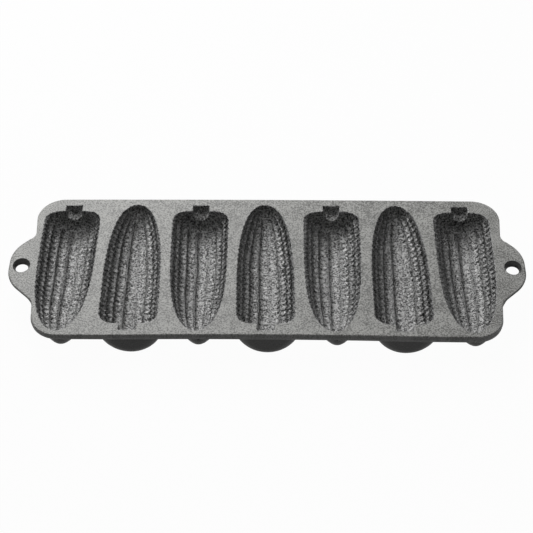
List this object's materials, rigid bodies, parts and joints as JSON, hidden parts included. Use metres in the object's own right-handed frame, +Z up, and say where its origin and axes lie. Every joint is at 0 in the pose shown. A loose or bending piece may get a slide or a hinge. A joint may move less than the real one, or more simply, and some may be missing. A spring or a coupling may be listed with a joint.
{
  "type": "corn stick pan",
  "caption": "Cast iron baking pan with a row of ear-of-corn cavities side by side, pointing alternately to the front and the back, and a hanging lug at each end.",
  "frame": {"origin": "centre of the pan on the surface that it stands on", "axes": "+X along the pan towards the right lug, -Y towards the front edge, +Z up out of the cavities"},
  "size_m": [0.3876, 0.143, 0.025],
  "materials": {
    "seasoned_iron": "rough"
  },
  "bodies": {
    "root": {"deck": "seasoned_iron", "left_lug": "seasoned_iron", "right_lug": "seasoned_iron", "ear_cup_1": "seasoned_iron", "ear_cup_2": "seasoned_iron", "ear_cup_3": "seasoned_iron", "ear_cup_4": "seasoned_iron", "ear_cup_5": "seasoned_iron", "ear_cup_6": "seasoned_iron", "ear_cup_7": "seasoned_iron"}
  },
  "joints": []
}
